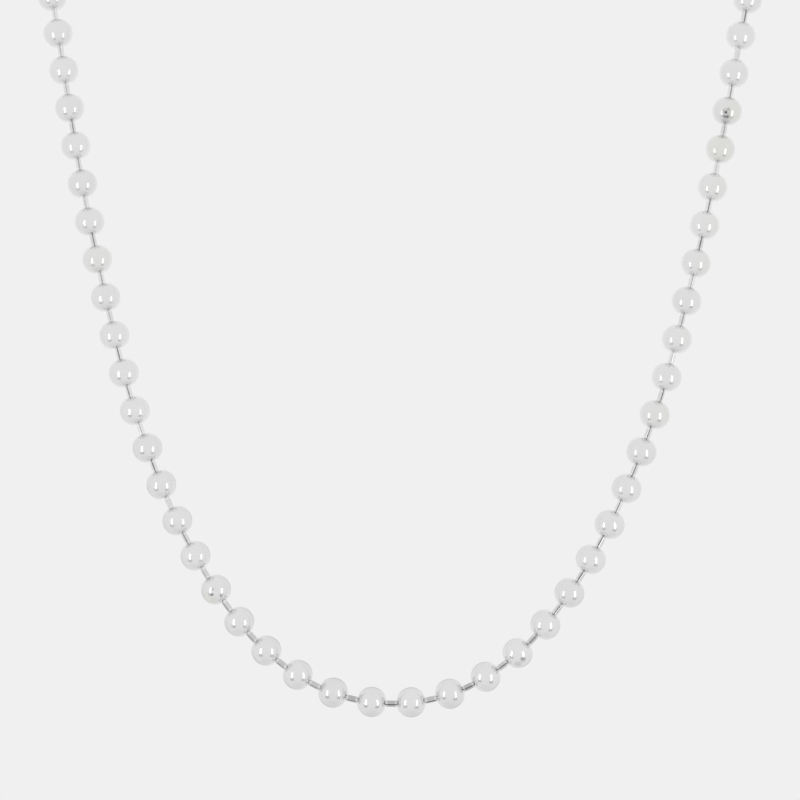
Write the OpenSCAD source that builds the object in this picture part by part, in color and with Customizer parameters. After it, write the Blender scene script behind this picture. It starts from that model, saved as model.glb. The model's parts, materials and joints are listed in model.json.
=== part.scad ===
// Ball chain necklace: hollow balls joined by headed pins, fastened at the nape by a sleeve.
// It is shaped as it hangs when worn: +Z is up, the front drop faces -Y and the nape is at +Y.
// The origin is the middle of the neck hollow, at the height where the chain passes the neck's sides.

/* [Balls] */
// Diameter of each hollow ball
ball_d = 4; // [3.5:0.1:6]
// Thickness of a ball's wall
ball_wall = 0.3; // [0.2:0.05:0.4]

/* [Pins] */
// Diameter of the pin that joins two balls
pin_d = 0.82; // [0.5:0.01:0.9]
// Diameter of the round head that keeps each end of a pin in its ball
head_d = 1.4; // [1.25:0.05:1.5]
// Play between a pin and the edge of its hole
hole_play = 0.14; // [0.12:0.01:0.2]
// Play between a pin's head and the inside of its ball
head_play = 0.12; // [0.1:0.01:0.2]

/* [Chain] */
// Distance between the centres of neighbouring balls, before it is fitted to a whole number of balls
pitch = 5.3; // [5:0.05:8]

/* [Neck] */
// Width of the loop where it passes the sides of the neck
neck_w = 104; // [90:1:130]
// Depth of the loop, from the lowest ball at the front to the nape
neck_depth = 100; // [90:1:130]
// Height from the neck's sides down to the lowest ball
front_drop = 120; // [90:1:180]
// Height from the neck's sides up to the nape
nape_rise = 30; // [15:1:45]

/* [Clasp] */
// Thickness of the sleeve's wall
sleeve_wall = 0.4; // [0.3:0.05:0.6]
// Play between the sleeve and the end balls that it holds
sleeve_play = 0.15; // [0.12:0.01:0.25]
// Gap between the two end balls inside the sleeve
end_gap = 0.75; // [0.4:0.05:1]
// Play on each side of a pin in the slot that it slides along
slot_play = 0.4; // [0.35:0.05:0.6]
// Bevel round each end of the sleeve
sleeve_bevel = 0.6; // [0.3:0.05:0.7]

/* [Hidden] */
$fn = 48;

// Chosen points of the chain's right half, from the lowest point round to the nape.
// Columns: across, as a share of half the width; back, as a share of half the depth;
// up, as a share of the front drop where it is negative and of the nape's rise where it isn't.
ROUTE = [
    [0.00, -1.000, -1.000],
    [0.15, -0.999, -0.989],
    [0.32, -0.993, -0.944],
    [0.45, -0.983, -0.878],
    [0.555, -0.970, -0.800],
    [0.67, -0.947, -0.677],
    [0.75, -0.917, -0.552],
    [0.83, -0.875, -0.396],
    [0.89, -0.832, -0.253],
    [0.93, -0.78, -0.165],
    [0.97, -0.665, -0.06],
    [0.995, -0.46, 0.14],
    [0.99, -0.165, 0.44],
    [0.90, 0.27, 0.71],
    [0.69, 0.65, 0.89],
    [0.37, 0.91, 0.97],
    [0.00, 1.00, 1.00]
];
// Steps into which each stretch between two chosen points is divided
STEPS = 20;
// The most that a pin turns in its hole, in degrees, where the chain bends the most
MAX_TURN = 9;
// How far a cutting tool runs past the face that it cuts
OVER = 0.5;

function place_of(share) = [
    share[0] * neck_w / 2,
    share[1] * neck_depth / 2,
    share[2] * (share[2] < 0 ? front_drop : nape_rise)
];
function mirrored(p) = [-p[0], p[1], p[2]];

// The chosen points in millimetres, with one mirrored point past each end so that the halves join smoothly
chosen = [for (share = ROUTE) place_of(share)];
last = len(chosen) - 1;
knots = concat([mirrored(chosen[1])], chosen, [mirrored(chosen[last - 1])]);

// Direction of the curve at a knot: the neighbouring chords' directions, the shorter chord's weighing more
function slope_at(i) =
    let (before = knots[i] - knots[i - 1], after = knots[i + 1] - knots[i])
    let (a = norm(before), b = norm(after))
    (before / a * b + after / b * a) / (a + b);

// A point on the smooth curve between knots i and i + 1, at t from 0 to 1
function blend(i, t) =
    let (chord = norm(knots[i + 1] - knots[i]))
    (2 * t * t * t - 3 * t * t + 1) * knots[i]
    + (t * t * t - 2 * t * t + t) * chord * slope_at(i)
    + (3 * t * t - 2 * t * t * t) * knots[i + 1]
    + (t * t * t - t * t) * chord * slope_at(i + 1);

curve = [
    for (i = [1 : last]) for (k = [0 : STEPS - 1]) blend(i, k / STEPS),
    chosen[last]
];
steps = len(curve) - 1;
// Length of the curve from the lowest point to each point of it
run = [for (i = 0, l = 0; i <= steps; l = l + (i < steps ? norm(curve[i + 1] - curve[i]) : 0), i = i + 1) l];
half_l = run[steps];
across = [for (i = [0 : steps]) [run[i], curve[i][0]]];
back = [for (i = [0 : steps]) [run[i], curve[i][1]]];
up = [for (i = [0 : steps]) [run[i], curve[i][2]]];

// The point at a length s along the chain from its lowest point, negative on the left
function along(s) = [sign(s) * lookup(abs(s), across), lookup(abs(s), back), lookup(abs(s), up)];

// The two end balls lie this far apart, centre to centre, in the sleeve
end_pitch = ball_d + end_gap;
// Balls on each side, and the pitch that fits them into the loop with a pin at its lowest point
side_balls = round((half_l - end_pitch / 2) / pitch + 0.5);
link_pitch = (half_l - end_pitch / 2) / (side_balls - 0.5);

ball_r = ball_d / 2;
hollow_r = ball_r - ball_wall;
hole_r = pin_d / 2 + hole_play;
// Distance from a ball's centre to the point where a pin turns in its hole
turn_reach = ball_r - ball_wall / 2;
// How far a head, about halfway out in the hollow, moves off the ball's axis when its pin turns
swing = (turn_reach - hollow_r / 2) * sin(MAX_TURN);
// Distance from a ball's centre to the inner edge of its hole, and to the head that is drawn up to that edge
edge_reach = sqrt(hollow_r * hollow_r - hole_r * hole_r);
head_reach = edge_reach - sqrt(pow(head_d / 2 + head_play, 2) - pow(hole_r - swing, 2));

bore_r = ball_r + sleeve_play;
sleeve_r = bore_r + sleeve_wall;
bore_l = end_pitch + 2 * bore_r;
sleeve_l = bore_l + 2 * sleeve_wall;
slot_w = pin_d + 2 * slot_play;

// Stands its child, made along Z round the origin, on the line from one point to another
module between(from, to) {
    line = to - from;
    tilt = acos(line[2] / norm(line));
    turn = atan2(line[1], line[0]);
    translate((from + to) / 2) rotate([0, tilt, turn]) children();
}

// One hollow ball with a hole at each end of its axis
module ball() {
    difference() {
        sphere(r = ball_r);
        sphere(r = hollow_r);
        cylinder(h = ball_d + OVER, r = hole_r, center = true);
    }
}

// One pin: a round wire with a round head at each end
module pin() {
    head_at = link_pitch / 2 - head_reach;
    cylinder(h = 2 * head_at, d = pin_d, center = true);
    for (end = [-1, 1])
        translate([0, 0, end * head_at])
            sphere(d = head_d);
}

// The whole string of balls
module ball_beads() {
    color("silver")
        for (i = [0 : 2 * side_balls - 1]) {
            s = (i - side_balls + 0.5) * link_pitch;
            between(along(s - turn_reach), along(s + turn_reach)) ball();
        }
}

// The pins between the balls, one fewer than there are balls
module link_pins() {
    reach = link_pitch / 2 - turn_reach;
    color("gainsboro")
        for (i = [1 : 2 * side_balls - 1]) {
            s = (i - side_balls) * link_pitch;
            between(along(s - reach), along(s + reach)) pin();
        }
}

// The sleeve at the nape: a closed tube round the two end balls, with a window that they go in by
// and a slot that their pins slide along
module clasp_sleeve() {
    centre = (along(half_l - end_pitch / 2) + along(end_pitch / 2 - half_l)) / 2;
    color("silver")
        translate(centre)
            difference() {
                rotate([0, 90, 0]) sleeve_body();
                rotate([0, 90, 0]) cylinder(h = bore_l, r = bore_r, center = true);
                rotate([0, 90, 0]) cylinder(h = sleeve_l + OVER, d = slot_w, center = true);
                translate([0, sleeve_r / 2, 0]) cube([sleeve_l + OVER, sleeve_r + OVER, slot_w], center = true);
                rotate([-90, 0, 0]) cylinder(h = sleeve_r + OVER, r = bore_r);
            }
}

// The sleeve's outside: a round bar with a bevel at each end
module sleeve_body() {
    end = sleeve_l / 2;
    rotate_extrude()
        polygon([
            [0, -end],
            [sleeve_r - sleeve_bevel, -end],
            [sleeve_r, sleeve_bevel - end],
            [sleeve_r, end - sleeve_bevel],
            [sleeve_r - sleeve_bevel, end],
            [0, end]
        ]);
}

ball_beads();
link_pins();
clasp_sleeve();
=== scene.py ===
"""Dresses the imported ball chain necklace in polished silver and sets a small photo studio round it.

Sizes are in metres and lie in the frame's own axes: +Z is up, the front drop faces -Y, the nape is at +Y.
"""

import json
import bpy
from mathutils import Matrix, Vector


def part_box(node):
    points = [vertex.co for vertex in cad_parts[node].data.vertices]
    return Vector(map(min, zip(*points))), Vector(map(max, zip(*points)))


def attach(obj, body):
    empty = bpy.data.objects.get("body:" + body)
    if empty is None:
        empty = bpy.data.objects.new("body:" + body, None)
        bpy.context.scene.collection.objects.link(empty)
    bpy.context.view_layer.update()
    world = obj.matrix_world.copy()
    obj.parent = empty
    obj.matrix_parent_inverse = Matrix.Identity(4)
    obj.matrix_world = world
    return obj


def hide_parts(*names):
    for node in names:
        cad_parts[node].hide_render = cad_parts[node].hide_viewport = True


bl_info = {
    "name": "Ball Chain Necklace",
    "version": (1, 0, 0),
    "blender": (4, 5, 0),
    "location": "View3D > Sidebar > Necklace",
    "description": "Makes the balls, pins, clasp and studio of a silver ball chain necklace",
    "category": "Add Mesh",
}

from math import asin, atan2, cos, pi, radians, sin, sqrt, tau

import bpy
import numpy as np
from bpy.props import FloatProperty, FloatVectorProperty, IntProperty, PointerProperty
from mathutils import Matrix, Vector

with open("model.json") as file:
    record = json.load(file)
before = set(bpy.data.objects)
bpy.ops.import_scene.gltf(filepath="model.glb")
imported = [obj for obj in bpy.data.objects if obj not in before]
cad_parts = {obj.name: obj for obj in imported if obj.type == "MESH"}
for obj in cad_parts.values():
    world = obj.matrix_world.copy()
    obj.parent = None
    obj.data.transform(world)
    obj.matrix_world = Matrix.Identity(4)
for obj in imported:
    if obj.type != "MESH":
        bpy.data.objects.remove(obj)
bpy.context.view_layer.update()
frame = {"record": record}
BODY = "root"
# Finishes that the record names, by material slot
RECORD_COLOURS = {row["slot"]: row["base_color"] for row in frame["record"]["materials"]}

# Chosen points of the chain's right half, from the lowest point round to the nape.
# Columns: across, as a share of half the width; back, as a share of half the depth;
# up, as a share of the front drop where it is negative and of the nape's rise where it isn't.
ROUTE = [
    [0.00, -1.000, -1.000],
    [0.15, -0.999, -0.989],
    [0.32, -0.993, -0.944],
    [0.45, -0.983, -0.878],
    [0.555, -0.970, -0.800],
    [0.67, -0.947, -0.677],
    [0.75, -0.917, -0.552],
    [0.83, -0.875, -0.396],
    [0.89, -0.832, -0.253],
    [0.93, -0.78, -0.165],
    [0.97, -0.665, -0.06],
    [0.995, -0.46, 0.14],
    [0.99, -0.165, 0.44],
    [0.90, 0.27, 0.71],
    [0.69, 0.65, 0.89],
    [0.37, 0.91, 0.97],
    [0.00, 1.00, 1.00],
]
# Painted reflections on single balls: dark spots that stand for the camera and the dark parts of the studio
# mirrored in them. Columns: which ball, counted from the lowest pin and negative on the left; the spot's
# place across and up from the middle of the side that faces the camera, and its spread, as shares of the
# ball's radius; and its strength.
PAINTED_REFLECTIONS = [
    [19, -0.08, -0.07, 0.12, 1.0],
    [19, 0.08, 0.14, 0.16, 0.3],
    [19, -0.22, 0.04, 0.10, 0.3],
    [19, -0.16, -0.36, 0.14, 0.6],
    [19, 0.02, -0.38, 0.16, 0.7],
    [19, -0.06, -0.16, 0.45, 0.22],
    [19, -0.12, -0.62, 0.35, 0.18],
    [-6, -0.26, -0.34, 0.14, 0.5],
    [-6, -0.22, 0.02, 0.12, 0.35],
    [-6, 0.33, -0.42, 0.14, 0.4],
    [4, 0.38, -0.42, 0.28, 0.28],
    [4, 0.05, -0.72, 0.30, 0.15],
]
# Balls that a faint yellow film has begun to cover, in the same columns
YELLOWED = [
    [18, 0.10, 0.00, 1.30, 0.33],
    [19, 0.50, 0.00, 0.90, 0.28],
    [17, 0.45, 0.00, 0.90, 0.18],
    [16, 0.50, 0.00, 0.90, 0.15],
    [15, 0.55, 0.00, 0.90, 0.16],
    [13, 0.60, 0.00, 0.80, 0.10],
    [11, 0.40, 0.00, 1.00, 0.20],
    [-15, 0.10, 0.00, 1.30, 0.12],
    [-6, -0.45, -0.62, 0.60, 0.28],
]
# Steps into which each stretch between two chosen points of the route is divided
ROUTE_STEPS = 20
# The most that a pin turns in its hole where the chain bends the most
MAX_TURN = radians(9)
# How far a new piece's box may differ from its node's before the layout counts as wrong
LAYOUT_PLAY = 0.0001
# The most that a copy's surface map is shifted, in millimetres
MAP_SHIFT = 100
# Edges that turn by more than this are shaded sharp
SHARP_TURN = radians(38)
# Corners of a card one metre wide and high
CARD = np.array([[-0.5, -0.5, 0], [0.5, -0.5, 0], [0.5, 0.5, 0], [-0.5, 0.5, 0]])
MM = 0.001
MIRRORED = np.array([-1.0, 1.0, 1.0])
FRONT = np.array([0.0, -1.0, 0.0])


def setting(kind, **rules):
    """A maker of one kind of setting for the sidebar, from its label, its description and its default."""
    return lambda label, text, default: kind(name=label, description=text, default=default, **rules)


length = setting(FloatProperty, min=0, unit="LENGTH", precision=5)
angle = setting(FloatProperty, subtype="ANGLE")
share = setting(FloatProperty, min=0, max=1, precision=3)
brightness = setting(FloatProperty, min=0, max=20, precision=3)
# Colours are in linear light, and places lie to the camera's right, toward it and up
colour = setting(FloatVectorProperty, size=3, subtype="COLOR")
position = setting(FloatVectorProperty, size=3, unit="LENGTH")


class ChainSizes(bpy.types.PropertyGroup):
    """Sizes of the chain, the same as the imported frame's."""

    ball_d: length("Ball diameter", "Diameter of each hollow ball", 0.004)
    ball_wall: length("Ball wall", "Thickness of a ball's wall", 0.0003)
    pin_d: length("Pin diameter", "Diameter of the pin between two balls", 0.00082)
    head_d: length("Head diameter", "Diameter of the round head at each end of a pin", 0.0014)
    hole_play: length("Hole play", "Play between a pin and the edge of its hole", 0.00014)
    head_play: length("Head play", "Play between a pin's head and the inside of its ball", 0.00012)
    mouth_play: length("Mouth play", "Play between a pin and the rolled-in edge of its hole", 0.00002)
    mouth_round: length("Mouth rounding", "Radius of the edge that is rolled in at each hole", 0.00005)
    pitch: length("Pitch", "Distance between neighbouring balls before it is fitted", 0.0053)
    neck_w: length("Neck width", "Width of the loop at the sides of the neck", 0.104)
    neck_depth: length("Neck depth", "Depth of the loop from its lowest ball to the nape", 0.1)
    front_drop: length("Front drop", "Height from the neck's sides down to the lowest ball", 0.12)
    nape_rise: length("Nape rise", "Height from the neck's sides up to the nape", 0.03)
    sleeve_wall: length("Sleeve wall", "Thickness of the clasp's wall", 0.0004)
    sleeve_play: length("Sleeve play", "Play between the clasp and the end balls", 0.00015)
    end_gap: length("End gap", "Gap between the two end balls inside the clasp", 0.00075)
    slot_play: length("Slot play", "Play on each side of a pin in the clasp's slot", 0.0004)
    sleeve_bevel: length("Sleeve bevel", "Rounding at each end of the clasp", 0.0006)


class MetalFinish(bpy.types.PropertyGroup):
    """How the metal looks."""

    balls_colour: colour("Balls", "Reflected colour of the balls", RECORD_COLOURS["balls"])
    pins_colour: colour("Pins", "Reflected colour of the pins", RECORD_COLOURS["pins"])
    clasp_colour: colour("Clasp", "Reflected colour of the clasp", RECORD_COLOURS["clasp"])
    tarnish_colour: colour("Tarnish", "Colour of the film in the holes and seams", (0.22, 0.21, 0.2))
    # Painted reflection: colour of the dark spots that stand for the camera mirrored in single balls
    painted_reflection_colour: colour("Stains", "Colour of the stains on single balls", (0.05, 0.045, 0.06))
    yellow_colour: colour("Yellow film", "Colour of the film on yellowed balls", (0.76, 0.765, 0.66))
    # Rubbed metal: partly real rubbing, partly a painted glint at the hole mouths and pin ends
    rubbed_glint_colour: colour("Rubbed", "Colour of the metal where pins and balls rub", (0.97, 0.97, 0.965))
    # Dims the metal's edges toward the chain's lowest point
    edge_dim: share("Edge dimming", "How much worn metal darkens where it is seen edge on", 0.36)
    polish: share("Polish", "Roughness of the balls' clean metal", 0.19)
    seed: IntProperty(name="Seed", description="Changes how each ball differs from the next", default=6343)


class StudioSettings(bpy.types.PropertyGroup):
    """The camera and the lights round the necklace."""

    camera_distance: length("Camera distance", "From the front of the chain to the camera", 0.4)
    camera_turn: angle("Camera turn", "How far to the necklace's right the camera stands", radians(1.63))
    camera_roll: angle("Camera roll", "How far the camera leans to its left", radians(0.43))
    camera_aside: length("Camera aside", "How far the camera is moved to its right", 0.0009)
    camera_height: length("Camera height", "Height of the camera above the lowest ball", 0.04039)
    frame_width: length("Frame width", "Width of the picture at the chain's front", 0.10583)
    light_width: length("Light width", "Width of each strip light", 0.053)
    left_height: length("Left light height", "Height of the left strip light", 0.162)
    left_place: position("Left light place", "Where the left strip light stands", (-0.16, 0.152, -0.03))
    left_lean: angle("Left light lean", "How far the left strip light leans", radians(-6))
    right_height: length("Right light height", "Height of the right strip light", 0.185)
    right_place: position("Right light place", "Where the right strip light stands", (0.165, 0.157, -0.04))
    right_lean: angle("Right light lean", "How far the right strip light leans", radians(6))
    light_level: brightness("Light level", "Brightness of the strip lights against a full white", 1.65)
    rim_width: length("Rim width", "Width of the dark rim round each strip light", 0.0105)
    wall_level: brightness("Wall level", "Brightness of the white tent", 0.895)
    low_level: brightness("Low level", "Brightness of the tent below, against its walls", 0.93)
    back_level: brightness("Back level", "Brightness of the tent behind, against its walls", 1.08)
    backdrop: colour("Backdrop", "Colour of the plain backdrop", (0.8714, 0.8714, 0.8714))
    floor_drop: length("Floor drop", "Height of the lowest ball above the floor", 0.33)


class Chain:
    """Layout of the chain, worked out from its sizes: all lengths are metres and all places are arrays."""

    def __init__(self, sizes):
        self.ball_r = sizes.ball_d / 2
        self.hollow_r = self.ball_r - sizes.ball_wall
        self.pin_r = sizes.pin_d / 2
        self.head_r = sizes.head_d / 2
        self.hole_r = self.pin_r + sizes.hole_play
        self.mouth_r = self.pin_r + sizes.mouth_play
        self.mouth_round = sizes.mouth_round
        self.turn_reach = self.ball_r - sizes.ball_wall / 2
        self.edge_reach = sqrt(self.hollow_r**2 - self.hole_r**2)
        swing = (self.turn_reach - self.hollow_r / 2) * sin(MAX_TURN)
        head_clear = self.head_r + sizes.head_play
        self.head_reach = self.edge_reach - sqrt(head_clear**2 - (self.hole_r - swing) ** 2)
        self.curve, self.run = route_curve(sizes)
        self.half_length = self.run[-1]
        self.end_pitch = sizes.ball_d + sizes.end_gap
        spread = self.half_length - self.end_pitch / 2
        self.side_balls = round(spread / sizes.pitch + 0.5)
        self.pitch = spread / (self.side_balls - 0.5)

    def along(self, at):
        """Places at lengths along the chain from its lowest point, negative on the left."""
        place = np.stack([np.interp(np.abs(at), self.run, self.curve[:, k]) for k in range(3)], axis=1)
        place[:, 0] *= np.sign(at)
        return place

    def ball_lines(self):
        """Where each ball's axis starts and ends: its two holes."""
        at = (np.arange(2 * self.side_balls) - self.side_balls + 0.5) * self.pitch
        return self.along(at - self.turn_reach), self.along(at + self.turn_reach)

    def pin_lines(self):
        """Where each pin leaves one ball and enters the next."""
        at = (np.arange(1, 2 * self.side_balls) - self.side_balls) * self.pitch
        reach = self.pitch / 2 - self.turn_reach
        return self.along(at - reach), self.along(at + reach)

    def nape(self):
        """The middle between the two end balls, where the clasp holds them."""
        ends = self.half_length - self.end_pitch / 2
        return self.along(np.array([-ends, ends])).mean(axis=0)


def unit(vectors):
    """Vectors in the same directions with a length of 1."""
    return vectors / np.linalg.norm(vectors, axis=-1, keepdims=True)


def run_along(points, closed=False):
    """Length along a line of points up to each of them, and back to the first if it is closed."""
    ends = np.vstack([points, points[:1]]) if closed else points
    return np.concatenate([[0], np.cumsum(np.linalg.norm(np.diff(ends, axis=0), axis=1))])


def route_curve(sizes):
    """Points of the chain's right half, and the length of chain up to each.

    Cubic Hermite stretches join the chosen points. The slope at a point is the mean of the two unit chords
    beside it, the shorter chord's weighing more, and it is scaled by the stretch's own chord."""
    shares = np.array(ROUTE)
    rise = np.where(shares[:, 2] < 0, sizes.front_drop, sizes.nape_rise)
    chosen = shares * np.stack(np.broadcast_arrays(sizes.neck_w / 2, sizes.neck_depth / 2, rise), axis=1)
    knots = np.vstack([chosen[1] * MIRRORED, chosen, chosen[-2] * MIRRORED])
    chords = np.diff(knots, axis=0)
    lengths = np.linalg.norm(chords, axis=1, keepdims=True)
    units = chords / lengths
    slopes = (units[:-1] * lengths[1:] + units[1:] * lengths[:-1]) / (lengths[:-1] + lengths[1:])
    t = (np.arange(ROUTE_STEPS) / ROUTE_STEPS)[None, :, None]
    start, end = knots[1:-2, None], knots[2:-1, None]
    leave, arrive = (slopes[:-1] * lengths[1:-1])[:, None], (slopes[1:] * lengths[1:-1])[:, None]
    points = (
        (2 * t**3 - 3 * t**2 + 1) * start
        + (t**3 - 2 * t**2 + t) * leave
        + (3 * t**2 - 2 * t**3) * end
        + (t**3 - t**2) * arrive
    )
    curve = np.vstack([points.reshape(-1, 3), chosen[-1:]])
    return curve, run_along(curve)


def turned_frames(starts, ends, rolls):
    """Middles and axes of things that stand along lines, each rolled about its own line.

    A frame's rows are the thing's own X, Y and Z in the object's axes. Z runs from start to end. Before the
    roll, X is the part of FRONT that stands square to the line, and Y is the cross product of Z and X."""
    line = unit(ends - starts)
    front = unit(FRONT - line * (line @ FRONT)[:, None])
    side = np.cross(line, front)
    c, s = np.cos(rolls)[:, None], np.sin(rolls)[:, None]
    return (starts + ends) / 2, np.stack([front * c + side * s, side * c - front * s, line], axis=1)


def turned_points(outline, turn):
    """An outline of (distance from the axis, height) carried round Z. Rows follow the outline, columns
    stand at the angles of turn, and a point is (distance * cosine, distance * sine, height)."""
    ring = np.stack([np.cos(turn), np.sin(turn)], axis=1)
    flat = outline[:, None, 0, None] * ring[None]
    height = np.broadcast_to(outline[:, None, 1, None], (len(outline), len(turn), 1))
    return np.concatenate([flat, height], axis=2)


def grid_quads(rows, columns, rows_close, columns_close):
    """Four-cornered faces of a grid of points, wrapping round where it closes, as indices of points,
    with each corner's (row, column) before wrapping for the UV map."""
    row, column = np.meshgrid(
        np.arange(rows if rows_close else rows - 1),
        np.arange(columns if columns_close else columns - 1),
        indexing="ij",
    )
    corner_rows = np.stack([row, row + 1, row + 1, row], axis=-1).reshape(-1, 4)
    corner_columns = np.stack([column, column, column + 1, column + 1], axis=-1).reshape(-1, 4)
    points = corner_rows % rows * columns + corner_columns % columns
    return points, corner_rows, corner_columns


def pole_fan(pole, first, sides):
    """Triangles from a pole to each side of the ring of points that begins at first."""
    side = np.arange(sides)
    return np.stack([np.full(sides, pole), first + side, first + (side + 1) % sides], axis=1)


def arc(radius, angles):
    """Points on a circle at angles from the axis: (radius * sine, radius * cosine)."""
    return radius * np.stack([np.sin(angles), np.cos(angles)], axis=1)


def bell(steps, middle, reach):
    """A share for each step along the chain: e to the minus squared (step - middle) / reach."""
    return np.exp(-(((steps - middle) / reach) ** 2))


def build_mesh(name, points, quads, triangles=None, uv=None, masks=None):
    """A smooth mesh object at the origin, from arrays of points and faces.

    uv holds a pair in millimetres for each corner of the quads and then of the triangles, and masks holds
    one value for each point under the name of its attribute."""
    if triangles is None:
        triangles = np.zeros((0, 3), int)
    corners = np.concatenate([quads.ravel(), triangles.ravel()])
    starts = np.concatenate([np.arange(len(quads)) * 4, quads.size + np.arange(len(triangles)) * 3])
    mesh = bpy.data.meshes.new(name)
    mesh.vertices.add(len(points))
    mesh.vertices.foreach_set("co", points.astype(np.float32).ravel())
    mesh.loops.add(len(corners))
    mesh.loops.foreach_set("vertex_index", corners.astype(np.int32))
    mesh.polygons.add(len(starts))
    mesh.polygons.foreach_set("loop_start", starts.astype(np.int32))
    mesh.polygons.foreach_set("use_smooth", np.ones(len(starts), bool))
    if uv is not None:
        layer = mesh.uv_layers.new(name="surface")
        layer.uv.foreach_set("vector", uv.astype(np.float32).ravel())
    for label, values in (masks or {}).items():
        attribute = mesh.attributes.new(label, "FLOAT", "POINT")
        attribute.data.foreach_set("value", values.astype(np.float32))
    mesh.update(calc_edges=True)
    if mesh.validate():
        raise RuntimeError(f"the mesh of {name} had faults")
    mesh.set_sharp_from_angle(angle=SHARP_TURN)
    piece = bpy.data.objects.new(name, mesh)
    bpy.context.scene.collection.objects.link(piece)
    return piece


def check_layout(points, node):
    """Stops the script where a new piece would lie elsewhere than the node that it stands for."""
    low, high = (np.array(corner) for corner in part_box(node))
    gap = max(np.abs(points.min(axis=0) - low).max(), np.abs(points.max(axis=0) - high).max())
    if gap > LAYOUT_PLAY:
        raise RuntimeError(f"{node} is laid out {gap / MM:.2f} mm away from the frame's")


def finish_piece(piece, node, material):
    """Gives a piece its finish, lets it ride on the body and hides its node."""
    piece.data.materials.append(material)
    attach(piece, BODY)
    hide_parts(node)


def ball_outline(chain):
    """Closed outline of a drilled hollow ball, with three shares at each of its points: how much tarnish it
    has, how near it is to the ball's middle, and how bright the pins rub it, with a painted glint.

    The round outside passes into each hole over a rolled-in edge that touches it, down to the mouth, from
    where the wall widens to the hollow."""
    edge_rows, outside_rows, hollow_rows = 5, 15, 7
    edge = chain.mouth_round
    edge_angle = asin((chain.mouth_r + edge) / (chain.ball_r - edge))
    edge_centre = (chain.ball_r - edge) * np.array([sin(edge_angle), cos(edge_angle)])
    mouth = edge_centre + arc(edge, np.linspace(-pi / 2, edge_angle, edge_rows + 1)[:-1])
    outside = arc(chain.ball_r, np.linspace(edge_angle, pi - edge_angle, outside_rows))
    hollow_angle = atan2(chain.hole_r, chain.edge_reach)
    inside = arc(chain.hollow_r, np.linspace(pi - hollow_angle, hollow_angle, hollow_rows))
    outline = np.vstack([mouth, outside, mouth[::-1] * [1, -1], inside])
    tarnished = np.repeat([0.0, 1.0], [len(outline) - len(inside), len(inside)])
    middle = (outline[:, 0] / chain.ball_r) ** 2
    # The rolled-in edges are rubbed bright and carry a painted glint that also lightens the shade at the
    # mouths, and the outside's first and last rows half as much
    stretches = [len(mouth), 1, len(outside) - 2, 1, len(mouth), len(inside)]
    rubbed = np.repeat([1.0, 0.5, 0.0, 0.5, 1.0, 0.0], stretches)
    return outline, tarnished, middle, rubbed


def make_balls(chain, seed):
    """All the balls of the chain as one mesh of closed hollow shells, with each ball's own tone and edge
    dimming.

    The metal's edges are dimmed toward the lowest balls and round each ball's middle."""
    sides = 31
    # The place along the chain where the edges are dimmed the most, and the reach of the dimming, both in
    # balls
    lowness_at, lowness_reach = -1.5, 10
    outline, tarnished, middle, rubbed = ball_outline(chain)
    starts, ends = chain.ball_lines()
    count = len(starts)
    draw = np.random.default_rng(seed)
    middles, frames = turned_frames(starts, ends, draw.uniform(0, tau, count))
    local = turned_points(outline, np.arange(sides) * tau / sides).reshape(-1, 3)
    points = middles[:, None] + np.einsum("vk,nkj->nvj", local, frames)
    quads, rows, columns = grid_quads(len(outline), sides, True, True)
    round_mm = columns / sides * tau * chain.ball_r / MM
    along_mm = run_along(outline, closed=True)[rows] / MM
    shift = draw.uniform(0, MAP_SHIFT, (count, 1, 2))
    uv = np.stack([round_mm, along_mm], axis=-1).reshape(1, -1, 2) + shift
    every = quads[None] + (np.arange(count) * len(local))[:, None, None]
    tone = draw.uniform(0, 1, count)
    worn = bell(np.arange(count) - (count - 1) / 2, lowness_at, lowness_reach)
    masks = {
        "near_hole": np.tile(np.repeat(tarnished, sides), count),
        "tone": np.repeat(tone, len(local)),
        "worn": np.outer(worn, np.repeat(middle, sides)).ravel(),
        "rubbed": np.tile(np.repeat(rubbed, sides), count),
    }
    check_layout(points.reshape(-1, 3), "ball_beads")
    return build_mesh("silver_balls", points.reshape(-1, 3), every.reshape(-1, 4), uv=uv, masks=masks)


def pin_outline(chain):
    """Outline of a pin without its two poles, two shares at each of its points, and the height of its pole.
    The shares are how deep the seam is cut there, and how far the balls leave the pin unrubbed.

    Each head is an arc from near the pole to the neck, where a hollow fillet leads to the straight wire."""
    head_rows, fillet_rows = 5, 3
    fillet = 0.12 * MM
    seam_run_out = 0.1 * MM
    head_at = chain.pitch / 2 - chain.head_reach
    # The fillet's circle touches the head from outside and the wire along its length
    centre_r = chain.pin_r + fillet
    centre_h = sqrt((chain.head_r + fillet) ** 2 - centre_r**2)
    neck = pi - asin(centre_r / (chain.head_r + fillet))
    head = arc(chain.head_r, np.linspace(0, neck, head_rows + 1)[1:])
    bend = np.linspace(neck - pi / 2, pi / 2, fillet_rows + 1)[1:]
    hollow = [centre_r, -centre_h] + arc(fillet, bend) * [-1, 1]
    end = np.vstack([head, hollow]) + [0, head_at]
    wire_end = end[-1, 1]
    # Rows of the wire from its end toward its middle
    heights = np.array([wire_end - seam_run_out, 0.7 * wire_end, 0.4 * wire_end])
    shank = np.stack([np.full(len(heights), chain.pin_r), heights], axis=1)
    half = np.vstack([end, shank])
    cut = np.repeat([0.0, 1.0, 0.0], [len(end), 2 * len(shank), len(end)])
    unrubbed = np.repeat([0.0, 1.0, 0.0], [len(half) - 1, 2, len(half) - 1])
    return np.vstack([half, half[::-1] * [1, -1]]), cut, unrubbed, head_at + chain.head_r


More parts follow.
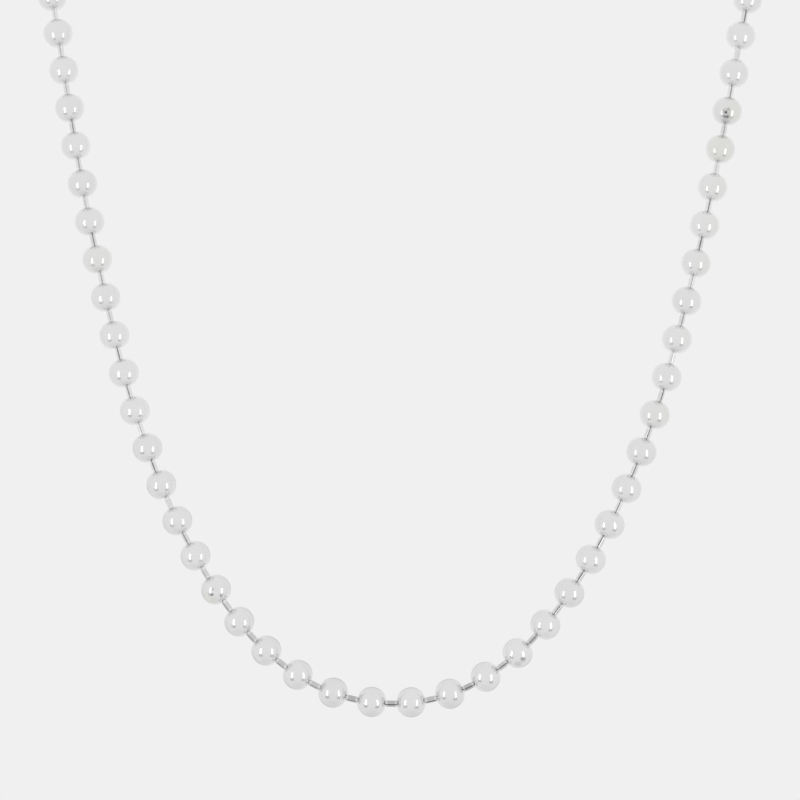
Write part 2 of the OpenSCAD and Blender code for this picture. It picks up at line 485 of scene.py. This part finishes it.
def pin_section(chain):
    """Angles round a pin's section, and how deep its seam is cut at each as a share.

    The seam is a narrow groove with slightly rounded edges, at angle 0. The rest of the round is even."""
    # Places across half the groove, as shares of its half width, and the depth at each
    groove = np.array([0.35, 0.8, 1.0, 1.4])
    depths = np.array([1.0, 0.45, 0.12, 0.0])
    even_columns = 12
    half_seam = 0.08 * MM / chain.pin_r
    groove_end = half_seam * groove[-1]
    rest = np.linspace(groove_end, tau - groove_end, even_columns + 2)[1:-1]
    turn = np.concatenate([half_seam * groove, rest, tau - half_seam * groove[::-1]])
    return turn, np.concatenate([depths, np.zeros(len(rest)), depths[::-1]])


def make_pins(chain, seed):
    """All the pins as one mesh of closed turned pieces, each with a seam along its wire.

    The seams face the front, but for a twist of the chain left of its lowest point and small turns of each
    pin. Some are pressed nearly shut. Toward the lowest pins the seams gape more and are wiped cleaner, and
    the pins grow darker and their edges dimmer. The balls rub each pin's ends bright, with a painted glint."""
    seam_depth = 0.22 * MM
    # The most that the chain twists, at which pin, and the reach of the twist in pins
    twist_most, twist_at, twist_reach = radians(42), -3, 4
    own_turn = radians(7)
    # Reach of the darkening and of the gaping from the lowest pin, in pins
    lowness_reach, gape_reach = 5, 10
    # How open the most shut seam is, how much more the lowest gapes, and the most that any is open
    least_open, gape, most_open = 0.2, 0.25, 0.85
    # How far tarnish spreads up a seam's walls, and how much is wiped off the lowest pin
    tarnish_spread, wiped = 1.5, 0.25
    # How much of the tone is each pin's own, and how bright the balls rub the ends, with a painted glint
    own_tone, end_rub_glint = 0.25, 0.3
    outline, cut, unrubbed, pole = pin_outline(chain)
    turn, depths = pin_section(chain)
    sides = len(turn)
    starts, ends = chain.pin_lines()
    count = len(starts)
    draw = np.random.default_rng(seed)
    step = np.arange(count) - count // 2
    twist = twist_most * bell(step, twist_at, twist_reach)
    middles, frames = turned_frames(starts, ends, twist + draw.normal(0, own_turn, count))
    rings = turned_points(outline, turn)
    inward = np.stack([-np.cos(turn), -np.sin(turn), np.zeros(sides)], axis=1)
    carve = (seam_depth * cut[:, None, None] * depths[None, :, None] * inward).reshape(-1, 3)
    carve = np.vstack([carve, np.zeros((2, 3))])
    local = np.vstack([rings.reshape(-1, 3), [[0, 0, pole], [0, 0, -pole]]])
    worn = bell(step, 0, lowness_reach)
    gaping = gape * bell(step, 0, gape_reach)
    opened = np.clip(draw.uniform(least_open, 1, count) + gaping, 0, most_open)[:, None, None]
    points = middles[:, None] + np.einsum("nvk,nkj->nvj", local + opened * carve, frames)
    quads, rows, columns = grid_quads(len(outline), sides, False, True)
    pole_at = len(local) - 2
    foot = pole_fan(pole_at + 1, pole_at - sides, sides)[:, [0, 2, 1]]
    triangles = np.vstack([pole_fan(pole_at, 0, sides), foot])
    run = run_along(outline) / MM
    round_mm = np.append(turn, tau) * chain.pin_r / MM
    quad_uv = np.stack([round_mm[columns], run[rows]], axis=-1)
    cap = np.stack([round_mm[:-1], round_mm[:-1], round_mm[1:]], axis=1)
    top_uv = np.stack([cap, np.tile([-1.0, 0.0, 0.0], (sides, 1))], axis=-1)
    foot_uv = np.stack([cap[:, [0, 2, 1]], run[-1] + np.tile([1.0, 0.0, 0.0], (sides, 1))], axis=-1)
    shift = draw.uniform(0, MAP_SHIFT, (count, 1, 2))
    quad_uv = quad_uv.reshape(1, -1, 2) + shift
    cap_uv = np.vstack([top_uv, foot_uv]).reshape(1, -1, 2) + shift
    uv = np.concatenate([quad_uv.reshape(-1, 2), cap_uv.reshape(-1, 2)])
    first_point = (np.arange(count) * len(local))[:, None, None]
    in_seam = np.append(np.outer(cut, depths).ravel(), [0, 0])
    tarnished = np.clip(in_seam * tarnish_spread, 0, 1) * opened[:, :, 0] * (1 - wiped * worn)[:, None]
    tone = np.clip(draw.uniform(0, own_tone, count) + (1 - own_tone) * worn, 0, 1)
    unrubbed = np.append(np.repeat(unrubbed, sides), [0, 0])
    masks = {
        "near_hole": tarnished.ravel(),
        "tone": (tone[:, None] * unrubbed).ravel(),
        "worn": np.repeat(worn, len(local)),
        "rubbed": np.tile(end_rub_glint * (1 - unrubbed), count),
    }
    check_layout(points.reshape(-1, 3), "link_pins")
    every = (quads[None] + first_point).reshape(-1, 4)
    fans = (triangles[None] + first_point).reshape(-1, 3)
    return build_mesh("link_pins_drawn", points.reshape(-1, 3), every, fans, uv, masks)


def both_ends(end, span, sign):
    """Values of the rows of one end, of the span, and of the other end, which mirrors the first."""
    return np.concatenate([end, span, sign * end[::-1]])


def make_clasp(chain, sizes):
    """The sleeve at the nape as one closed mesh.

    Its walls are a closed outline of (place along X, distance from the axis) carried round X. Each row
    turns only through the angles outside the opening toward +Y, whose half width at each place is the round
    window's, the root of the squared bore radius less the squared place, or the slot's where that is more.
    Rows of the outside and of the inside face each other in pairs, which close the cut edges."""
    columns, bevel_rows = 41, 5
    # Place of a plain row near each end, room between the next row and the window, and the window's rows
    plain_row, window_room, window_rows = 3.2 * MM, 0.05 * MM, 25
    bore_tarnish = 0.6
    bore_r = chain.ball_r + sizes.sleeve_play
    sleeve_r = bore_r + sizes.sleeve_wall
    half_bore = chain.end_pitch / 2 + bore_r
    half = half_bore + sizes.sleeve_wall
    slot_r = chain.pin_r + sizes.slot_play
    bend = np.linspace(0, pi / 2, bevel_rows)
    bevel = sizes.sleeve_bevel
    end_x = half - bevel + bevel * np.cos(bend)
    end_outer = sleeve_r - bevel + bevel * np.sin(bend)
    # Inside rows at each end: through the hole in its wall, up the bore's end and along the bore
    end_inner_x = np.array([half, half - 0.35 * sizes.sleeve_wall, half_bore, half_bore, end_x[-1]])
    end_inner_r = np.array([slot_r, slot_r, slot_r, bore_r, bore_r])
    # How far from the sleeve's middle the window meets the slot
    meet = sqrt(bore_r**2 - slot_r**2)
    span = meet * np.cos(np.linspace(0, pi, window_rows))
    span = both_ends(np.array([plain_row, meet + window_room]), span, -1)
    outer_x, inner_x = both_ends(end_x, span, -1), both_ends(end_inner_x, span, -1)
    outer_r = both_ends(end_outer, np.full(len(span), sleeve_r), 1)
    inner_r = both_ends(end_inner_r, np.full(len(span), bore_r), 1)
    x = np.concatenate([outer_x, inner_x[::-1]])
    r = np.concatenate([outer_r, inner_r[::-1]])
    window = np.sqrt(np.clip(bore_r**2 - x**2, 0, None))
    opening = np.arcsin(np.clip(np.maximum(window, slot_r) / r, 0, 1))
    turn = opening[:, None] + (tau - 2 * opening)[:, None] * np.linspace(0, 1, columns)
    place = np.broadcast_to(x[:, None], turn.shape)
    points = np.stack([place, r[:, None] * np.cos(turn), r[:, None] * np.sin(turn)], axis=2)
    quads, rows, steps = grid_quads(len(x), columns, True, False)
    run = run_along(np.stack([x, r], axis=1), closed=True) / MM
    quad_uv = np.stack([steps / columns * tau * sleeve_r / MM, run[rows]], axis=-1).reshape(-1, 2)
    k = np.arange(len(outer_x) - 1)
    pairs = np.stack([k, k + 1, len(x) - 2 - k, len(x) - 1 - k], axis=1)
    cuts = (pairs, pairs[:, ::-1])
    cut_uv = [np.stack([x[cut], r[cut]], axis=-1).reshape(-1, 2) / MM for cut in cuts]
    every = np.vstack([quads, cuts[0] * columns, cuts[1] * columns + columns - 1])
    uv = np.concatenate([quad_uv, *cut_uv])
    points = points.reshape(-1, 3) + chain.nape()
    inside = (r < (bore_r + sleeve_r) / 2) & (np.abs(x) < (half_bore + half) / 2)
    masks = {
        "near_hole": np.repeat(inside.astype(float), columns) * bore_tarnish,
        "tone": np.full(len(points), 0.5),
        "worn": np.full(len(points), 0.5),
    }
    check_layout(points, "clasp_sleeve")
    piece = build_mesh("clasp_sleeve_polished", points, every, uv=uv, masks=masks)
    round_edges = piece.modifiers.new("rounded edges", "BEVEL")
    round_edges.width = 0.05 * MM
    round_edges.segments = 2
    round_edges.limit_method = "ANGLE"
    round_edges.angle_limit = radians(50)
    return piece


def add_node(tree, kind, inputs=None, **settings):
    """Adds a node, sets what settings name, and fills its inputs with values or joins them to sockets."""
    node = tree.nodes.new(kind)
    for name, value in settings.items():
        setattr(node, name, value)
    for name, value in (inputs or {}).items():
        if isinstance(value, bpy.types.NodeSocket):
            tree.links.new(value, node.inputs[name])
        else:
            node.inputs[name].default_value = value
    return node


def math_node(tree, operation, first, second):
    """The socket of one sum of two values."""
    return add_node(tree, "ShaderNodeMath", {0: first, 1: second}, operation=operation).outputs[0]


def mix_colour(tree, mask, under, over):
    """The socket of a colour that a mask turns from the one in a socket to a plain one."""
    mix = add_node(tree, "ShaderNodeMix", {"Factor": mask}, data_type="RGBA")
    colours = [socket for socket in mix.inputs if socket.type == "RGBA"]
    tree.links.new(under, colours[0])
    colours[1].default_value = (*over, 1)
    return next(socket for socket in mix.outputs if socket.type == "RGBA")


def object_noise(tree, scale, detail, roughness=0.5):
    """The socket of a noise through the object."""
    place = add_node(tree, "ShaderNodeTexCoord").outputs["Object"]
    noise = {"Vector": place, "Scale": scale, "Detail": detail, "Roughness": roughness}
    return add_node(tree, "ShaderNodeTexNoise", noise).outputs["Fac"]


def piece_mask(tree, name):
    """The socket of one of the masks that a piece carries on its points."""
    return add_node(tree, "ShaderNodeAttribute", attribute_name=name).outputs["Fac"]


def remapped(tree, value, start=0.0, end=1.0, low=0.0, high=1.0, smooth=False):
    """The socket of a value that runs from low to high while the given one runs from start to end."""
    ends = {"Value": value, "From Min": start, "From Max": end, "To Min": low, "To Max": high}
    kind = "SMOOTHSTEP" if smooth else "LINEAR"
    return add_node(tree, "ShaderNodeMapRange", ends, interpolation_type=kind).outputs["Result"]


def soft_dents(group, given):
    """Shallow waves left by forming thin metal: broad noise through the object, as a height from 0 to 1."""
    return object_noise(group, given["Waves per Metre"], detail=1.5, roughness=0.4)


def hairlines(group, given):
    """Fine scratches of handling: noise drawn out along two slanting ways of the surface's own map, with
    only its crests kept, as a mask from 0 to 1."""
    surface = add_node(group, "ShaderNodeUVMap", uv_map="surface").outputs["UV"]
    # Noise level of the first lines, how far full coverage lowers it, and its rise to a whole line
    bare_level, coverage_drop, line_edge = 0.86, 0.4, 0.06
    masks = []
    for slant, offset in ((24, 0.0), (-57, 31.0)):
        mapping = {
            "Vector": surface,
            "Location": (offset, offset, 0),
            "Rotation": (0, 0, radians(slant)),
            "Scale": (0.35, 14.0, 1.0),
        }
        drawn = add_node(group, "ShaderNodeMapping", mapping).outputs["Vector"]
        noise = {"Vector": drawn, "Scale": given["Fineness"], "Detail": 2.0}
        lines = add_node(group, "ShaderNodeTexNoise", noise).outputs["Fac"]
        drop = math_node(group, "MULTIPLY", given["Coverage"], coverage_drop)
        crest = math_node(group, "SUBTRACT", bare_level, drop)
        masks.append(remapped(group, lines, crest, math_node(group, "ADD", crest, line_edge)))
    return math_node(group, "MAXIMUM", *masks)


def handling_film(group, given):
    """The thin uneven film that fingers leave: cloudy noise with finer specks in it, as a mask to 1."""
    clouds = object_noise(group, given["Clouds per Metre"], detail=4.0, roughness=0.6)
    return remapped(group, clouds, start=0.42, end=0.68, smooth=True)


def seat_tarnish(group, given):
    """Dark film in the holes and seats, where polish doesn't reach: the piece's near_hole mask, broken up
    by noise, from 0 to 1."""
    broken = object_noise(group, 2600.0, detail=3.0, roughness=0.65)
    patches = remapped(group, broken, start=0.3, end=0.7, low=0.45)
    amount = math_node(group, "MULTIPLY", piece_mask(group, "near_hole"), given["Amount"])
    return math_node(group, "MULTIPLY", amount, patches)


def spot_mask(group, given):
    """One spot round a place in the object's axes with an edge broken by noise, from 0 to 1. It draws both
    the yellow film and the painted reflections of the camera on single balls.
    """
    raggedness = 0.6
    place = add_node(group, "ShaderNodeTexCoord").outputs["Object"]
    middle = add_node(group, "ShaderNodeCombineXYZ", {axis: given[axis] for axis in "XYZ"})
    ends = {0: place, 1: middle.outputs["Vector"]}
    reach = add_node(group, "ShaderNodeVectorMath", ends, operation="DISTANCE").outputs["Value"]
    broken = math_node(group, "MULTIPLY", object_noise(group, 3500.0, detail=2.0), raggedness)
    edge = math_node(group, "ADD", math_node(group, "DIVIDE", reach, given["Radius"]), broken)
    return remapped(group, edge, start=0.7, end=1.3, low=1.0, high=0.0, smooth=True)


# Node groups: what works out each one's result, the result's name, and the inputs with their defaults
GROUPS = {
    "Soft Dents": (soft_dents, "Height", {"Waves per Metre": 620.0}),
    "Hairlines": (hairlines, "Mask", {"Fineness": 1.0, "Coverage": 0.3}),
    "Handling Film": (handling_film, "Mask", {"Clouds per Metre": 260.0}),
    "Seat Tarnish": (seat_tarnish, "Mask", {"Amount": 1.0}),
    "Stain": (spot_mask, "Mask", {"X": 0.0, "Y": 0.0, "Z": 0.0, "Radius": 0.001}),
}


def build_group(name):
    """A shader group of numbers, made from its row of GROUPS."""
    result, output, inputs = GROUPS[name]
    group = bpy.data.node_groups.new(name, "ShaderNodeTree")
    for label, default in inputs.items():
        socket = group.interface.new_socket(label, in_out="INPUT", socket_type="NodeSocketFloat")
        socket.default_value = default
    group.interface.new_socket(output, in_out="OUTPUT", socket_type="NodeSocketFloat")
    given = add_node(group, "NodeGroupInput").outputs
    add_node(group, "NodeGroupOutput", {output: result(group, given)})
    return group


def group_result(tree, name, inputs=None):
    """The socket of a node group's result in a material. The group is built on first use."""
    group = bpy.data.node_groups.get(name) or build_group(name)
    return add_node(tree, "ShaderNodeGroup", inputs, node_tree=group).outputs[0]


def camera_side_spots(chain, places, studio, table, shade):
    """Middle, radius, strength and colour of each spot of a table, on the side of its ball that faces the
    camera:
    the yellow film's, and the painted reflections of the camera and the studio's dark parts.
    """
    starts, ends = chain.ball_lines()
    eye = np.array(places.place(studio.camera_aside, studio.camera_distance, 0))
    spots = []
    for step, across, up, spread, strength in table:
        index = chain.side_balls + (step - 1 if step > 0 else step)
        middle = (starts[index] + ends[index]) / 2
        toward = unit(eye - middle)
        right = unit(np.cross([0, 0, 1], toward))
        out = across * right + up * np.cross(toward, right) + sqrt(1 - across**2 - up**2) * toward
        spots.append((middle + chain.ball_r * out, spread * chain.ball_r, strength, shade))
    return spots


def silver_material(name, base, finish, polish, tarnish, scratches, dents, tone_play, stains=()):
    """Polished metal of one base colour, with a mask of its own for each kind of wear.

    polish is the clean metal's roughness, tarnish and scratches are how much of each there is, dents is the
    depth of the forming waves in millimetres, and tone_play is how much darker one copy may be than others.
    Tone and handling film darken the metal, its edges dim toward the chain's lowest point, tarnish colours
    the seats, rubbed places are bright with a painted glint, and yellow film and painted reflections of the
    camera lie over all. Film, hairlines and tarnish roughen it."""
    film_darkening = 0.02
    scratch_depth = 0.0004
    material = bpy.data.materials.new(name)
    material.use_nodes = True
    tree = material.node_tree
    tree.nodes.clear()
    film = group_result(tree, "Handling Film")
    lines = group_result(tree, "Hairlines", {"Coverage": scratches})
    seats = group_result(tree, "Seat Tarnish", {"Amount": tarnish})
    level = remapped(tree, piece_mask(tree, "tone"), low=1.0, high=1.0 - tone_play)
    level = math_node(tree, "SUBTRACT", level, math_node(tree, "MULTIPLY", film, film_darkening))
    clean = add_node(tree, "ShaderNodeVectorMath", {0: tuple(base), "Scale": level}, operation="SCALE")
    mixed = mix_colour(tree, seats, clean.outputs["Vector"], finish.tarnish_colour)
    # Rubbed places: bright metal with a painted glint at the hole mouths and pin ends
    mixed = mix_colour(tree, piece_mask(tree, "rubbed"), mixed, finish.rubbed_glint_colour)
    # Spots over all: the yellow film, and painted reflections of the camera and the studio's dark parts
    for place, radius, strength, shade in stains:
        spot = group_result(tree, "Stain", {**dict(zip("XYZ", place)), "Radius": radius})
        mixed = mix_colour(tree, math_node(tree, "MULTIPLY", spot, strength), mixed, shade)
    rough = polish
    for mask, added in ((film, 0.03), (lines, 0.06), (seats, 0.3)):
        rough = math_node(tree, "ADD", rough, math_node(tree, "MULTIPLY", mask, added))
    height = math_node(tree, "MULTIPLY", group_result(tree, "Soft Dents"), dents)
    height = math_node(tree, "SUBTRACT", height, math_node(tree, "MULTIPLY", lines, scratch_depth))
    bump = add_node(tree, "ShaderNodeBump", {"Height": height, "Distance": MM, "Strength": 1.0})
    shader = {
        "Base Color": mixed,
        "Metallic": 1.0,
        "Roughness": rough,
        "Specular Tint": remapped(tree, piece_mask(tree, "worn"), low=1.0, high=1.0 - finish.edge_dim),
        "Normal": bump.outputs["Normal"],
    }
    metal = add_node(tree, "ShaderNodeBsdfPrincipled", shader)
    add_node(tree, "ShaderNodeOutputMaterial", {"Surface": metal.outputs["BSDF"]})
    return material


def plain_material(name, level, roughness):
    """A matt grey of one level for the studio's own things, with a faint mottle."""
    material = bpy.data.materials.new(name)
    material.use_nodes = True
    tree = material.node_tree
    shader = tree.nodes["Principled BSDF"]
    mottle = object_noise(tree, 9.0, detail=3.0)
    grey = remapped(tree, mottle, low=level * 0.99, high=level * 1.01)
    tree.links.new(grey, shader.inputs["Base Color"])
    shader.inputs["Roughness"].default_value = roughness
    shader.inputs["Specular IOR Level"].default_value = 0.1
    return material


class Studio:
    """Places of the camera and the lights, worked out from the studio's settings and the chain."""

    def __init__(self, studio, sizes):
        turn = studio.camera_turn
        front = -(sizes.neck_depth + sizes.ball_d) / 2
        self.front = Vector((0, front, studio.camera_height - sizes.front_drop))
        self.right = Vector((cos(turn), sin(turn), 0))
        self.back = Vector((sin(turn), -cos(turn), 0))
        self.up = Vector((0, 0, 1))

    def place(self, right, back, up):
        """A place so far to the camera's right, toward the camera and up, from the front of the chain."""
        return self.front + self.right * right + self.back * back + self.up * up


def facing(place, target, lean):
    """A turn that points local -Z from a place to a target with local Y up, then leans about that line."""
    along = (target - place).normalized()
    side = along.cross(Vector((0, 0, 1))).normalized()
    upright = Matrix([side, side.cross(along), -along]).transposed()
    return (upright @ Matrix.Rotation(lean, 3, "Z")).to_4x4()


def make_camera(studio, places):
    """The camera, a little to the right and leant a little, with the photograph's framing."""
    camera = bpy.data.objects.new("camera", bpy.data.cameras.new("camera"))
    bpy.context.scene.collection.objects.link(camera)
    camera.data.sensor_width = 36.0
    camera.data.lens = camera.data.sensor_width * studio.camera_distance / studio.frame_width
    camera.data.clip_start = 0.01
    place = places.place(studio.camera_aside, studio.camera_distance, 0)
    camera.matrix_world = Matrix.Translation(place) @ facing(place, place - places.back, studio.camera_roll)
    bpy.context.scene.camera = camera


def make_strip_light(side, studio, places, rim_material, stand_material):
    """The upright strip light of one side, facing the front of the chain, before a dark card that shows as
    its rim and above the card of its stand. Its power follows from its brightness."""
    aim_height = 0.02
    # The stand's width against the rim's, and its height against the light's
    stand_wide, stand_high = 1.6, 0.4
    name = side + "_strip"
    spot, height, lean = (getattr(studio, f"{side}_{key}") for key in ("place", "height", "lean"))
    place = places.place(*spot)
    light = bpy.data.lights.new(name, "AREA")
    light.shape = "RECTANGLE"
    light.size, light.size_y = studio.light_width, height
    light.energy = studio.light_level * pi * studio.light_width * height
    strip = bpy.data.objects.new(name, light)
    bpy.context.scene.collection.objects.link(strip)
    turn = facing(place, places.place(0, 0, aim_height), lean)
    strip.matrix_world = Matrix.Translation(place) @ turn
    strip.visible_camera = False
    # The rim stands a little behind the light, and the stand hangs below the rim's lower edge
    rim_w, rim_h = studio.light_width + 2 * studio.rim_width, height + 2 * studio.rim_width
    behind = 2 * MM
    make_card(name + "_rim", place, turn, (0, 0, behind), rim_w, rim_h, rim_material)
    stand_w, stand_h = stand_wide * rim_w, stand_high * height
    drop = (rim_h + stand_h) / 2
    make_card(name + "_stand", place, turn, (0, -drop, behind), stand_w, stand_h, stand_material)


def make_card(name, place, turn, offset, width, height, material):
    """A flat card seen only in the metal: a sheet of four corners, moved by an offset in a light's own axes
    and turned as the light is."""
    points = (CARD * [width, height, 0] + offset) @ np.array(turn.to_3x3()).T + np.array(place)
    card = build_mesh(name, points, np.array([[0, 3, 2, 1]]))
    card.data.materials.append(material)
    card.visible_camera = False
    card.visible_diffuse = False
    card.visible_shadow = False


def make_floor(studio, sizes):
    """A round pale floor well below the chain: rings of points whose distance grows evenly."""
    rings, sides, hub_r, floor_r = 24, 64, 0.02, 1.5
    floor_z = -sizes.front_drop - studio.floor_drop
    ring_r = np.linspace(hub_r, floor_r, rings)
    turn = np.arange(sides) * tau / sides
    points = turned_points(np.stack([ring_r, np.full(rings, floor_z)], axis=1), turn).reshape(-1, 3)
    quads, _, _ = grid_quads(rings, sides, False, True)
    centre = pole_fan(len(points), 0, sides)
    floor = build_mesh("floor", np.vstack([points, [[0, 0, floor_z]]]), quads, centre)
    floor.data.materials.append(plain_material("pale floor", level=0.9, roughness=0.6))
    floor.visible_glossy = False


def make_world(studio):
    """A white tent, dimmer below and brighter behind, with a plain backdrop. Its brightness follows the
    direction's shares along Z and Y."""
    world = bpy.data.worlds.new("white tent")
    bpy.context.scene.world = world
    world.use_nodes = True
    tree = world.node_tree
    tree.nodes.clear()
    way = add_node(tree, "ShaderNodeTexCoord").outputs["Generated"]
    parts = add_node(tree, "ShaderNodeSeparateXYZ", {"Vector": way})
    rise, depth = parts.outputs["Z"], parts.outputs["Y"]
    low = remapped(tree, rise, start=-0.97, end=-0.75, low=studio.low_level, smooth=True)
    back = remapped(tree, depth, start=0.3, end=0.95, low=1.0, high=studio.back_level, smooth=True)
    level = math_node(tree, "MULTIPLY", math_node(tree, "MULTIPLY", low, back), studio.wall_level)
    tent = add_node(tree, "ShaderNodeBackground", {"Color": (1.0, 1.0, 1.0, 1.0), "Strength": level})
    plain = add_node(tree, "ShaderNodeBackground", {"Color": (*studio.backdrop, 1)})
    seen = add_node(tree, "ShaderNodeLightPath").outputs["Is Camera Ray"]
    shown = add_node(tree, "ShaderNodeMixShader", {0: seen, 1: tent.outputs[0], 2: plain.outputs[0]})
    add_node(tree, "ShaderNodeOutputWorld", {"Surface": shown.outputs[0]})


def settings(context):
    """The scene's three groups of settings: the sizes, the finish and the studio."""
    return [getattr(context.scene, name) for name in SETTINGS]


class NECKLACE_OT_make_balls(bpy.types.Operator):
    """Makes the hollow balls in place of the frame's and polishes them"""

    bl_idname = "necklace.make_balls"
    bl_label = "Make Balls"

    def execute(self, context):
        sizes, finish, studio = settings(context)
        chain, places = Chain(sizes), Studio(studio, sizes)
        # Spots on single balls: the yellow film, and painted reflections of the camera and the studio's
        # dark parts
        stains = camera_side_spots(chain, places, studio, YELLOWED, finish.yellow_colour)
        stains += camera_side_spots(chain, places, studio, PAINTED_REFLECTIONS, finish.painted_reflection_colour)
        wear = {"tarnish": 0.6, "scratches": 0.2, "dents": 0.004, "tone_play": 0.02, "stains": stains}
        silver = silver_material("polished silver", finish.balls_colour, finish, finish.polish, **wear)
        finish_piece(make_balls(chain, finish.seed), "ball_beads", silver)
        return {"FINISHED"}


class NECKLACE_OT_make_pins(bpy.types.Operator):
    """Makes the headed pins in place of the frame's"""

    bl_idname = "necklace.make_pins"
    bl_label = "Make Pins"

    def execute(self, context):
        sizes, finish, _ = settings(context)
        wear = {"polish": 0.08, "tarnish": 0.84, "scratches": 0.4, "dents": 0.003, "tone_play": 0.45}
        wire = silver_material("drawn wire", finish.pins_colour, finish, **wear)
        finish_piece(make_pins(Chain(sizes), finish.seed + 1), "link_pins", wire)
        return {"FINISHED"}


class NECKLACE_OT_make_clasp(bpy.types.Operator):
    """Makes the slotted sleeve at the nape in place of the frame's"""

    bl_idname = "necklace.make_clasp"
    bl_label = "Make Clasp"

    def execute(self, context):
        sizes, finish, _ = settings(context)
        wear = {"polish": 0.14, "tarnish": 0.9, "scratches": 0.5, "dents": 0.003, "tone_play": 0.0}
        sheet = silver_material("rolled sheet", finish.clasp_colour, finish, **wear)
        finish_piece(make_clasp(Chain(sizes), sizes), "clasp_sleeve", sheet)
        return {"FINISHED"}


class NECKLACE_OT_make_studio(bpy.types.Operator):
    """Sets up the camera, the white tent, the strip lights and the pale floor"""

    bl_idname = "necklace.make_studio"
    bl_label = "Make Studio"

    def execute(self, context):
        sizes, _, studio = settings(context)
        places = Studio(studio, sizes)
        make_camera(studio, places)
        make_world(studio)
        rim = plain_material("dark rim", level=0.3, roughness=0.7)
        stand = plain_material("grey stand", level=0.62, roughness=0.7)
        for side in ("left", "right"):
            make_strip_light(side, studio, places, rim, stand)
        make_floor(studio, sizes)
        context.scene.view_settings.view_transform = "Standard"
        context.scene.view_settings.look = "None"
        return {"FINISHED"}


class NECKLACE_PT_panel(bpy.types.Panel):
    """Lists the steps that make the necklace and its studio"""

    bl_idname = "NECKLACE_PT_panel"
    bl_label = "Ball Chain Necklace"
    bl_space_type = "VIEW_3D"
    bl_region_type = "UI"
    bl_category = "Necklace"

    def draw(self, context):
        for group in settings(context):
            box = self.layout.box()
            for name in group.__annotations__:
                box.prop(group, name)
        for operator in MAKERS:
            self.layout.operator(operator.bl_idname)


SETTINGS = {
    "necklace_sizes": ChainSizes,
    "necklace_finish": MetalFinish,
    "necklace_studio": StudioSettings,
}
MAKERS = (
    NECKLACE_OT_make_studio,
    NECKLACE_OT_make_balls,
    NECKLACE_OT_make_pins,
    NECKLACE_OT_make_clasp,
)


def register():
    for group in SETTINGS.values():
        bpy.utils.register_class(group)
    for kind in (*MAKERS, NECKLACE_PT_panel):
        bpy.utils.register_class(kind)
    for name, group in SETTINGS.items():
        setattr(bpy.types.Scene, name, PointerProperty(type=group))


def unregister():
    for name in SETTINGS:
        delattr(bpy.types.Scene, name)
    for kind in (NECKLACE_PT_panel, *reversed(MAKERS), *SETTINGS.values()):
        bpy.utils.unregister_class(kind)


def main():
    """Makes everything in order."""
    register()
    bpy.ops.necklace.make_studio()
    bpy.ops.necklace.make_balls()
    bpy.ops.necklace.make_pins()
    bpy.ops.necklace.make_clasp()


if __name__ == "__main__":
    main()
